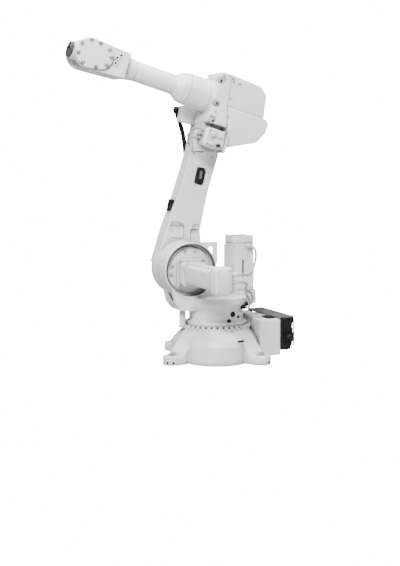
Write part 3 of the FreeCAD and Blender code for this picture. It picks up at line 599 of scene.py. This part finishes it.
def buildShoulderMotor(sizes):
    home = Matrix.Translation((sizes["centre"][0], 0, sizes["centre"][1])) @ nearward
    flange = plate(sizes["plate"], sizes["plate"], sizes["bodyStart"] - sizes["start"], 0.022, 0.002,
                   sizes["start"])
    collar = plate(sizes["headWidth"], sizes["headHeight"], sizes["headLength"], 0.014, 0.002,
                   sizes["bodyStart"] - 0.001)
    stackPiece("shoulderMotorFlange", [(flange, home), (collar, home)], "turning_frame", "whitePaint",
               "motor2_flange")
    body = sizes["body"]
    length = sizes["capStart"] - sizes["bodyStart"]
    stacks = [(plate(body, body, length, 0.016, 0.002, sizes["bodyStart"]), home)]
    for side in (-1, 1):
        panel = Matrix.Translation((sizes["centre"][0] + side * (body / 2 - 0.001),
                                    sizes["bodyStart"] + 0.5 * length, sizes["centre"][1]))
        turned = panel @ Matrix.Rotation(side * math.pi / 2, 4, "Y")
        stacks.append((plate(0.070, length - 0.060, 0.0042, 0.006, 0.001), turned))
        stacks.append((plate(0.052, length - 0.110, 0.0058, 0.004, 0.001), turned))
    top = Matrix.Translation((sizes["centre"][0], sizes["bodyStart"] + 0.5 * length,
                              sizes["centre"][1] + body / 2))
    stacks.append((plate(0.052, length - 0.020, 0.0070, 0.005, 0.0015, -0.002), top))
    stackPiece("shoulderMotorBody", stacks, "turning_frame", "whitePaint", "motor2_body")
    near = sizes["capStart"] - 0.001
    deep = sizes["end"] - 0.0022 - near
    width, height = sizes["capWidth"], sizes["capHeight"]
    cap = [plateLoop(width - 0.006, height - 0.006, 0.014, near),
           plateLoop(width, height, 0.018, near + 0.003),
           plateLoop(width, height, 0.018, near + 0.014),
           plateLoop(width - 0.004, height - 0.004, 0.016, near + 0.0155),
           plateLoop(width - 0.004, height - 0.004, 0.016, near + 0.0185),
           plateLoop(width, height, 0.018, near + 0.020),
           plateLoop(width, height, 0.020, near + deep - 0.012),
           plateLoop(width - 0.010, height - 0.010, 0.018, near + deep - 0.003),
           plateLoop(width - 0.018, height - 0.018, 0.014, near + deep)]
    stackPiece("shoulderMotorCap", [(cap, home)], "turning_frame", "whitePaint", "motor2_cap")
    seams = [(plate(sizes["headWidth"] + 0.0008, sizes["headHeight"] + 0.0008, 0.0022, 0.014, 0.0004,
                    sizes["bodyStart"] - 0.0006), home),
             (plate(body + 0.001, body + 0.001, 0.0024, 0.016, 0.0004, sizes["capStart"] - 0.004), home),
             (plate(body + 0.0008, body + 0.0008, 0.0012, 0.016, 0.0003, sizes["bodyStart"] + 0.052), home)]
    stackPiece("shoulderMotorSeams", seams, "turning_frame", "shadowGap")
    x, z = sizes["centre"]
    flangeSpots = [((x + sx * 0.058, sizes["bodyStart"] - 0.0005, z + sz * 0.058), (0, 1, 0))
                   for sx in (-1, 1) for sz in (-1, 1)]
    repeatPiece("shoulderFlangeScrews", socketScrew(0.0062, 0.0060), flangeSpots, "turning_frame",
                "zincScrew")
    capSpots = [((x + sx * 0.028, sizes["end"] - 0.0026, z + sz * 0.046), (0, 1, 0))
                for sx in (-1, 1) for sz in (-1, 1)]
    panelSpots = [((x + side * (body / 2 + 0.003), y, z + sz * 0.029), (side, 0, 0))
                  for side in (-1, 1) for y in (sizes["capStart"] - 0.036, sizes["bodyStart"] + 0.036)
                  for sz in (-1, 1)]
    repeatPiece("shoulderMotorScrews", socketScrew(0.0036, 0.0026), capSpots + panelSpots, "turning_frame",
                "zincScrew")


buildShoulderMotor(motorTwo)


# a round connector: a seat, a ribbed ring, a shell and a tapered boot
def connectorLoops(length, radius):
    loops = turnedLoops([(radius * 0.98, 0), (radius * 0.98, 0.12 * length)], 36)
    knurled = ringLoop(1.0, 0, 36)
    for level in (0.13, 0.42):
        loops.append([Vector((point.x, point.y, 0)) * radius * (1.0 if index % 3 else 0.93)
                      + Vector((0, 0, level * length)) for index, point in enumerate(knurled)])
    loops += turnedLoops([(radius * 0.86, 0.45 * length), (radius * 0.86, 0.74 * length),
                          (radius * 0.62, 0.78 * length), (radius * 0.50, length)], 36)
    return loops


plugPlaces = [(0.100, 0.404, 0.406 + drop) for drop in (0.025, -0.008, -0.041)]
stackPiece("shoulderPlugs",
           [(connectorLoops(0.038, 0.0125), facing(place, (-1, 0, 0))) for place in plugPlaces],
           "turning_frame", "connectorGrey", "motor2_plugs", smooth=30)

motorOne = {"centre": (-0.118, 0.005), "length": 0.112, "width": 0.114, "base": 0.300, "shaft": 0.316,
            "split": 0.541, "top": 0.575}


def buildFrameMotor(sizes):
    place = Matrix.Translation((*sizes["centre"], 0))
    length, width = sizes["length"], sizes["width"]
    x, y = sizes["centre"]
    stackPiece("frameMotorFlange",
               [(plate(length + 0.012, width + 0.012, 0.016, 0.010, 0.002, sizes["base"]), place)],
               "turning_frame", "whitePaint", "motor1_flange")
    tall = sizes["split"] - sizes["shaft"]
    stacks = [(plate(length - 0.003, width - 0.003, tall, 0.014, 0.0015, sizes["shaft"]), place)]
    near = Matrix.Translation((x, y + width / 2 - 0.002, sizes["shaft"] + tall / 2)) @ nearward
    stacks.append((plate(0.026, tall - 0.02, 0.0035, 0.004, 0.001),
                   near @ Matrix.Translation((-0.036, 0, 0))))
    stacks.append((plate(0.040, tall - 0.08, 0.0028, 0.004, 0.001),
                   near @ Matrix.Translation((0.030, 0.020, 0))))
    left = Matrix.Translation((x + length / 2 - 0.002, y,
                               sizes["shaft"] + tall / 2)) @ Matrix.Rotation(math.pi / 2, 4, "Y")
    stacks.append((plate(tall - 0.02, 0.030, 0.0030, 0.004, 0.001),
                   left @ Matrix.Translation((0, 0.036, 0))))
    stacks.append((plate(tall - 0.02, 0.030, 0.0030, 0.004, 0.001),
                   left @ Matrix.Translation((0, -0.036, 0))))
    stackPiece("frameMotorBody", stacks, "turning_frame", "whitePaint", "motor1_body")
    # dark grey strips in the motor body's grooves: painted shade
    grooves = []
    for across, drop, size in ((0.004, -0.005, 0.082), (-0.047, -0.030, 0.100)):
        spot = (x + across, y + width / 2 - 0.0035, sizes["shaft"] + tall / 2 + drop)
        grooves.append((plate(0.009, size, 0.0030, 0.0042, 0.0006), facing(spot, (0, 1, 0))))
    stackPiece("frameMotorGrooves", grooves, "turning_frame", "darkGreyPaintAndShade")
    cap = plate(length - 0.004, width - 0.004, sizes["top"] - sizes["split"], 0.014, 0.003, sizes["split"])
    stackPiece("frameMotorCap", [(cap, place)], "turning_frame", "whitePaint", "motor1_cap")
    # thin dark grey bands at the cap joint and just above the flange: painted shade in the seams
    seams = [(plate(length - 0.0034, width - 0.0034, 0.0016, 0.014, 0.0003, sizes["split"] - 0.0008),
              place),
             (plate(length - 0.0022, width - 0.0022, 0.0018, 0.014, 0.0003, sizes["shaft"] + 0.0004),
              place)]
    stackPiece("frameMotorSeams", seams, "turning_frame", "darkGreyPaintAndShade")
    spots = [((x + sx * 0.044, y + sy * 0.045, sizes["top"] - 0.0005), (0, 0, 1)) for sx in (-1, 1)
             for sy in (-1, 1)]
    spots += [((x + sx * 0.046, y + width / 2 - 0.0008, z), (0, 1, 0)) for sx in (-1, 1)
              for z in (sizes["shaft"] + 0.014, sizes["split"] - 0.012)]
    repeatPiece("frameMotorScrews", socketScrew(0.0040, 0.0028), spots, "turning_frame", "zincScrew")
    flange = [((x + sx * 0.056, y + sy * 0.057, 0.3155), (0, 0, 1)) for sx in (-1, 1) for sy in (-1, 1)]
    repeatPiece("frameFlangeScrews", socketScrew(0.0048, 0.0055), flange, "turning_frame", "zincScrew")


buildFrameMotor(motorOne)
stackPiece("frameMotorPlug", [(connectorLoops(0.030, 0.013), facing((-0.140, 0.062, 0.529), (0, 1, 0)))],
           "turning_frame", "connectorGrey", "motor1_plug", smooth=30)
print("turning frame done")

# lower arm

casting("lower_arm", "lower_arm", voxel=0.0030, rounds=7)
casting("elbow_bracket", "lower_arm", voxel=0.0022, rounds=6)
armFace = -0.085
plugCentre = (-0.009, 0.446)


def buildWindowPlug():
    home = leaning @ Matrix.Translation((plugCentre[0], armFace, plugCentre[1])) @ nearward
    width, height = 0.0445, 0.0805
    loops = [plateLoop(width, height, 0.018, -0.0095), plateLoop(width, height, 0.018, 0.0006),
             plateLoop(width - 0.003, height - 0.003, 0.0168, 0.0018),
             plateLoop(width - 0.012, height - 0.012, 0.0130, 0.0018),
             plateLoop(width - 0.015, height - 0.015, 0.0120, -0.0022),
             plateLoop(width - 0.022, height - 0.026, 0.0090, -0.0034)]
    stackPiece("windowPlug", [(loops, home)], "lower_arm", "blackPlastic", "window_plug")
    dish = home @ Matrix.Translation((-0.003, -0.007, -0.0036))
    stackPiece("windowDish", [(plate(0.0150, 0.0400, 0.0020, 0.0070, 0.0008), dish)], "lower_arm",
               "darkGreyPaintAndShade")


buildWindowPlug()


# points of a pocket outline, just proud of the arm's near face, for the painted shade lines
def pocketShadeOutline(outline):
    return [leaning @ Vector((x / 1000, armFace - 0.0004, z / 1000)) for x, z in outline]


# dark tubes along the pocket outlines on the arm's near face: painted shade lines
tubePiece("pocketTrims", [
    pocketShadeOutline([(93, 186), (60, 194), (30, 200), (23, 197), (18, 170), (12, 144), (16, 139), (45, 134),
                (78, 128)]),
    pocketShadeOutline([(-54, 193), (-30, 190), (-18, 187), (-16, 182), (-20, 160), (-27, 140)]),
    pocketShadeOutline([(70, 606), (64, 578), (60, 557), (56, 553), (30, 558), (4, 563), (-1, 568), (5, 592),
                (10, 619)])],
    0.0017, "lower_arm", "shadowGap")

clampAcross = 0.0915
clampHome = leaning @ Matrix.Translation((0, armFace - 0.044, 0.282))


def buildEdgeClamp():
    block = clampHome @ Matrix.Translation((clampAcross, 0, 0))
    stacks = [(plate(0.026, 0.043, 0.055, 0.006, 0.0015, -0.0275), block),
              (plate(0.030, 0.030, 0.016, 0.006, 0.0015, -0.0080), block),
              (disc(0.0070, 0.005), block @ facing((0.006, 0.0205, 0.014), (0, 1, 0)))]
    stackPiece("edgeClamp", stacks, "lower_arm", "blackPlastic", "edge_clamp")


buildEdgeClamp()

hoseLane = -0.1883
hoseRoute = [(52, 545), (61, 582), (79, 625), (103, 672), (124, 704), (139, 735), (150, 756)]


def buildHose():
    route = [leaning @ Vector((x / 1000, hoseLane, z / 1000)) for x, z in hoseRoute]
    tubePiece("elbowHose", [route], 0.0106, "lower_arm", "blackRubber", "elbow_hose")
    rings = []
    for start, end in zip(route, route[1:]):
        run = end - start
        count = max(2, round(run.length / 0.0062))
        for step in range(count):
            rings.append((start + run * (step + 0.5) / count, run.normalized()))
    repeatPiece("hoseRibs",
                turnedLoops([(0.0100, -0.0016), (0.0120, -0.0008), (0.0120, 0.0008), (0.0100, 0.0016)], 20),
                rings[2:-2], "lower_arm", "blackRubber")
    clip = leaning @ Matrix.Translation((0.135, -0.186, 0.740)) @ Matrix.Rotation(math.radians(25), 4, "Y")
    stackPiece("hoseClip", [(plate(0.042, 0.032, 0.022, 0.008, 0.002, -0.011), clip),
                            (plate(0.034, 0.028, 0.034, 0.008, 0.002, -0.017), clip)],
               "lower_arm", "blackPlastic", "hose_clip")


buildHose()
armScrews = []
for x, z in ((-44, 575), (86, 120), (-96, 60), (48, 548), (-52, 548)):
    armScrews.append((leaning @ Vector((x / 1000, armFace - 0.0004, z / 1000)), Vector((0, 1, 0))))
repeatPiece("armScrews", socketScrew(0.0046, 0.0028), armScrews, "lower_arm", "zincScrew")
coverScrews = []
for count, radius, node, height in ((10, 0.086, "hub_cover", 0.0), (6, 0.045, "elbow_cover", 0.700)):
    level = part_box(node)[0][1] + 0.0004
    for order in range(count):
        angle = math.tau * (order + 0.5) / count
        coverScrews.append((leaning
                            @ Vector((radius * math.cos(angle), level, height + radius * math.sin(angle))),
                            Vector((0, -1, 0))))
repeatPiece("hubScrews", socketScrew(0.0050, 0.0040), coverScrews, "lower_arm", "zincScrew")
print("lower arm done")

# upper arm

casting("arm_house", "upper_arm", voxel=0.0030, rounds=7)
casting("rear_cover_upper", "upper_arm", voxel=0.0034, rounds=9)
casting("rear_cover_lower", "upper_arm", voxel=0.0034, rounds=9)
nearFace = 0.097
scallops = ((81, 190), (72, 82), (67, -2))


def buildScallopSlots():
    stacks = []
    patches = []
    for x, z in scallops:
        place = pitched @ Matrix.Translation((x / 1000 - 0.010, nearFace - 0.010, z / 1000 - 0.002))
        stacks.append((plate(0.010, 0.013, 0.0112, 0.0040, 0.001), place @ nearward))
        place = pitched @ Matrix.Translation((x / 1000 - 0.002, nearFace - 0.010, z / 1000))
        patches.append((plate(0.030, 0.023, 0.0104, 0.0070, 0.001), place @ nearward))
    for x, z in ((-28, 205), (-24, 199)):
        place = pitched @ Matrix.Translation((x / 1000, 0.0846, z / 1000))
        stacks.append((plate(0.018, 0.0036, 0.0100, 0.0015, 0.0005), place @ nearward))
    # grey patches round the scallop slots: painted shade in the scallop hollows
    stackPiece("scallopSeats", patches, "upper_arm", "cableGrey")
    stackPiece("scallopSlots", stacks, "upper_arm", "shadowGap")


buildScallopSlots()
coverSpots = [(7, 204), (2, 124)]
repeatPiece("coverScrews", socketScrew(0.0056, 0.0034), onSide(pitched, coverSpots, 0.0935), "upper_arm",
            "zincScrew")
lowerSpots = [(-8, 36), (-14, -30)]
repeatPiece("lowerCoverScrews", socketScrew(0.0050, 0.0030), onSide(pitched, lowerSpots, 0.1055),
            "upper_arm",
            "zincScrew")
houseSpots = [(62, 214), (30, 226), (56, 40), (48, -60), (16, 216)]
repeatPiece("houseScrews", socketScrew(0.0048, 0.0030), onSide(pitched, houseSpots, 0.0965), "upper_arm",
            "zincScrew")


def buildElbowMotor():
    x, z = 0.027, -0.084
    home = pitched @ Matrix.Translation((x, 0, z)) @ nearward
    body = [plateLoop(0.094, 0.084, 0.012, 0.036), plateLoop(0.098, 0.088, 0.014, 0.039),
            plateLoop(0.098, 0.088, 0.014, 0.066), plateLoop(0.092, 0.082, 0.012, 0.068),
            plateLoop(0.092, 0.082, 0.012, 0.073), plateLoop(0.098, 0.088, 0.014, 0.075),
            plateLoop(0.098, 0.088, 0.014, 0.110), plateLoop(0.088, 0.078, 0.012, 0.118)]
    stackPiece("elbowMotor", [(body, home)], "upper_arm", "whitePaint", "motor3_body")
    boss = pitched @ Matrix.Translation((x + 0.022, 0.117, z + 0.016)) @ nearward
    stackPiece("elbowMotorPlug",
               [(turnedLoops([(0.0150, 0), (0.0150, 0.008), (0.0120, 0.0085), (0.0118, 0.014),
                              (0.0095, 0.0165)]), boss)],
               "upper_arm", "connectorGrey", "motor3_boss")
    spots = [(x * 1000 + sx * 38, z * 1000 + sz * 33) for sx in (-1, 1) for sz in (-1, 1)]
    repeatPiece("elbowMotorScrews", socketScrew(0.0046, 0.0036), onSide(pitched, spots, 0.1165),
                "upper_arm", "zincScrew")
    gap = [(plate(0.0986, 0.0886, 0.0022, 0.014, 0.0004, 0.0695), home),
           (plate(0.0990, 0.0890, 0.0016, 0.014, 0.0003, 0.0352), home)]
    gap.append((plate(0.018, 0.012, 0.012, 0.003, 0.0008),
                facing(pitched @ Vector((x - 0.018, 0.1165, z - 0.026)),
                                                                  (0, 1, 0))))
    stackPiece("elbowMotorSeams", gap, "upper_arm", "shadowGap")
    cover = pitched @ Matrix.Translation((x - 0.020, 0.1165, z + 0.020)) @ nearward
    lead = pitched @ Matrix.Translation((x + 0.018, 0.1165, z - 0.024)) @ nearward
    stackPiece("elbowMotorCovers", [(plate(0.030, 0.022, 0.010, 0.005, 0.0015), cover),
                                    (plate(0.034, 0.018, 0.012, 0.005, 0.0015), lead)], "upper_arm",
                                    "whitePaint")
    ribs = []
    for order in range(6):
        ribs.append((pitched @ Vector((-0.0215, 0.043 + 0.0125 * order, z - 0.008)),
                     pitched.to_3x3() @ Vector((-1, 0, 0))))
    repeatPiece("elbowRailRibs", plate(0.060, 0.005, 0.0030, 0.002, 0.0006, -0.001), ribs, "upper_arm",
                "whitePaint")


buildElbowMotor()
tubePiece("elbowLeads", [
    [pitched @ Vector(point)
     for point in ((0.076, 0.070, -0.074), (0.094, 0.072, -0.070), (0.112, 0.060, -0.072),
                                           (0.122, 0.030, -0.086), (0.116, -0.010, -0.104),
                                           (0.094, -0.050, -0.118))],
    [pitched @ Vector(point)
     for point in ((0.076, 0.056, -0.092), (0.096, 0.056, -0.092), (0.110, 0.042, -0.098),
                                           (0.114, 0.010, -0.112), (0.100, -0.030, -0.124),
                                           (0.080, -0.056, -0.128))],
], 0.0046, "upper_arm", "cableGrey")


def buildElbowFittings():
    block = {"place": (0.104, 0.048, -0.066), "length": 0.030, "height": 0.030, "thick": 0.020}
    home = pitched @ Matrix.Translation(block["place"]) @ nearward
    stackPiece("leadBlock", [(plate(block["length"], block["height"], block["thick"], 0.004, 0.0015), home),
                             (plate(0.040, 0.012, 0.008, 0.003, 0.001), home)], "upper_arm", "whitePaint")
    level = block["place"][1] + block["thick"] - 0.0004
    repeatPiece("leadBlockScrews", socketScrew(0.0036, 0.0028),
                onSide(pitched, [(97, -74), (111, -58)], level),
                "upper_arm", "zincScrew")
    forward = pitched.to_3x3() @ Vector((1, 0, 0))
    repeatPiece("leadNuts", [hexLoop(0.0078, 0), hexLoop(0.0078, 0.007), ringLoop(0.0056, 0.0075, 24),
                             ringLoop(0.0054, 0.012, 24)],
                [(pitched @ Vector(place), forward)
                 for place in ((0.0755, 0.070, -0.074), (0.0755, 0.056, -0.092))],
                "upper_arm", "zincScrew")
    tubePiece("elbowThinLead", [[pitched @ Vector(point) for point in (
        (0.074, 0.086, -0.056), (0.098, 0.088, -0.046), (0.122, 0.074, -0.054), (0.134, 0.040, -0.076),
        (0.126, 0.004, -0.098))]], 0.0030, "upper_arm", "cableGrey")


buildElbowFittings()
print("upper arm done")

# forearm and wrist

casting("forearm_tube", "forearm", voxel=0.0030, rounds=8)
casting("wrist_fork", "forearm", voxel=0.0028, rounds=5)
casting("wrist_cover_left", "forearm", voxel=0.0022, rounds=7)
casting("wrist_cover_right", "forearm", voxel=0.0022, rounds=7)
casting("tilt_housing", "wrist", voxel=0.0024, rounds=8)
wristScrews = ((722, 170), (760, 140), (764, 94), (732, 58), (668, 58), (620, 81), (610, 121), (627, 151),
               (676, 168))


def buildWristScrews():
    for side, face, name in ((1, 0.091, "left"), (-1, -0.091, "right")):
        spots = [(pitched @ Vector((x / 1000, face - side * 0.0004, z / 1000)), Vector((0, side, 0)))
                 for x, z in wristScrews]
        repeatPiece(name + "WristSeats", disc(0.0094, 0.0012, 0.0004, sides=28), spots, "forearm",
                    "shadowGap")
        repeatPiece(name + "WristScrews", socketScrew(0.0070, 0.0042), spots, "forearm", "zincScrew")
    bosses = [(568, 146), (582, 131), (582, 105)]
    spots = onSide(pitched, bosses, 0.0775)
    repeatPiece("wristBosses",
                turnedLoops([(0.0118, 0), (0.0115, 0.0040), (0.0104, 0.0050), (0.0056, 0.0050),
                             (0.0052, 0.0020)], 28), spots, "forearm",
                "whitePaint")
    repeatPiece("wristBossPlugs", disc(0.0050, 0.0046, 0.0005, sides=20), spots, "forearm", "shadowGap")


buildWristScrews()


def buildToolFlange():
    home = pitched @ Matrix.Translation((0.780, 0, 0.112)) @ Matrix.Rotation(math.pi / 2, 4, "Y")
    face = 0.012
    loops = turnedLoops([(0.0300, -0.0035), (0.0300, 0.0), (0.0352, 0.0), (0.0360, 0.0008),
                         (0.0360, face - 0.0008), (0.0352, face), (0.0170, face), (0.01575, face - 0.0006),
                         (0.01575, face - 0.005), (0.0060, face - 0.005)], 72)
    stackPiece("toolFlange", [(loops, home)], "tool_flange", "machinedSteel", "tool_flange")
    holes = []
    for order in range(6):
        angle = math.tau * order / 6
        place = home @ Vector((0.025 * math.cos(angle), 0.025 * math.sin(angle), face - 0.0022))
        holes.append((place, home.to_3x3() @ Vector((0, 0, 1))))
    repeatPiece("toolHoles",
                turnedLoops([(0.0044, 0.0), (0.0044, 0.0024), (0.0034, 0.0026), (0.0033, 0.0004)], 24),
                holes, "tool_flange", "zincScrew")


buildToolFlange()
print("wrist done")

# camera, floor, light

cameraSizes = {"place": (2.271, 5.402, 0.999), "lens": 78.4, "turn": 157.2, "shiftX": -0.028,
               "shiftY": -0.241}


def addCamera(sizes):
    data = bpy.data.cameras.new("studioCamera")
    data.lens = sizes["lens"]
    data.sensor_width = 36
    data.shift_x = sizes["shiftX"]
    data.shift_y = sizes["shiftY"]
    camera = bpy.data.objects.new("studioCamera", data)
    camera.location = sizes["place"]
    camera.rotation_euler = (math.radians(90), 0, math.radians(sizes["turn"]))
    scene.collection.objects.link(camera)
    scene.camera = camera


def addFloor():
    build = bmesh.new()
    bmesh.ops.create_grid(build, x_segments=1, y_segments=1, size=30)
    floor = bpy.data.objects.new("studioFloor", meshFrom("studioFloor", build))
    scene.collection.objects.link(floor)
    floor.location.z = -0.0008
    material = bpy.data.materials.new("studioPaper")
    material.use_nodes = True
    tree = material.node_tree
    shader = tree.nodes["Principled BSDF"]
    shader.inputs["Roughness"].default_value = 0.9
    shader.inputs["Base Color"].default_value = (0.34, 0.34, 0.34, 1)
    glow = shaderNode(tree, "ShaderNodeEmission", Strength=22.0)
    seen = tree.nodes.new("ShaderNodeLightPath")
    blend = tree.nodes.new("ShaderNodeMixShader")
    share = shaderNode(tree, "ShaderNodeMath", operation="MULTIPLY")
    share.inputs[1].default_value = 0.86
    tree.links.new(seen.outputs["Is Camera Ray"], share.inputs[0])
    tree.links.new(share.outputs["Value"], blend.inputs["Fac"])
    tree.links.new(shader.outputs["BSDF"], blend.inputs[1])
    tree.links.new(glow.outputs["Emission"], blend.inputs[2])
    tree.links.new(blend.outputs["Shader"], tree.nodes["Material Output"].inputs["Surface"])
    floor.data.materials.append(material)


def addWorld():
    world = bpy.data.worlds.new("studio")
    world.use_nodes = True
    tree = world.node_tree
    seen = tree.nodes.new("ShaderNodeLightPath")
    level = shaderNode(tree, "ShaderNodeMapRange")
    level.inputs["To Min"].default_value = 0.24
    level.inputs["To Max"].default_value = 22.0
    tree.links.new(seen.outputs["Is Camera Ray"], level.inputs["Value"])
    tree.links.new(level.outputs["Result"], tree.nodes["Background"].inputs["Strength"])
    tree.nodes["Background"].inputs["Color"].default_value = (1, 1, 1, 1)
    scene.world = world


def addLamp(name, place, aim, size, power):
    lamp = bpy.data.lights.new(name, "AREA")
    lamp.energy = power
    lamp.size = size
    holder = bpy.data.objects.new(name, lamp)
    holder.location = place
    holder.rotation_euler = (Vector(aim) - Vector(place)).to_track_quat("-Z", "Y").to_euler()
    scene.collection.objects.link(holder)


addCamera(cameraSizes)
addFloor()
addWorld()
addLamp("keyLamp", (2.4, 3.4, 3.6), (0.1, 0, 0.8), 1.4, 500)
addLamp("topLamp", (0.2, 0.2, 4.2), (0, 0, 0.8), 1.6, 300)
addLamp("sideLamp", (-3.6, 2.6, 1.4), (0, 0, 0.7), 1.2, 22)
print("studio done")
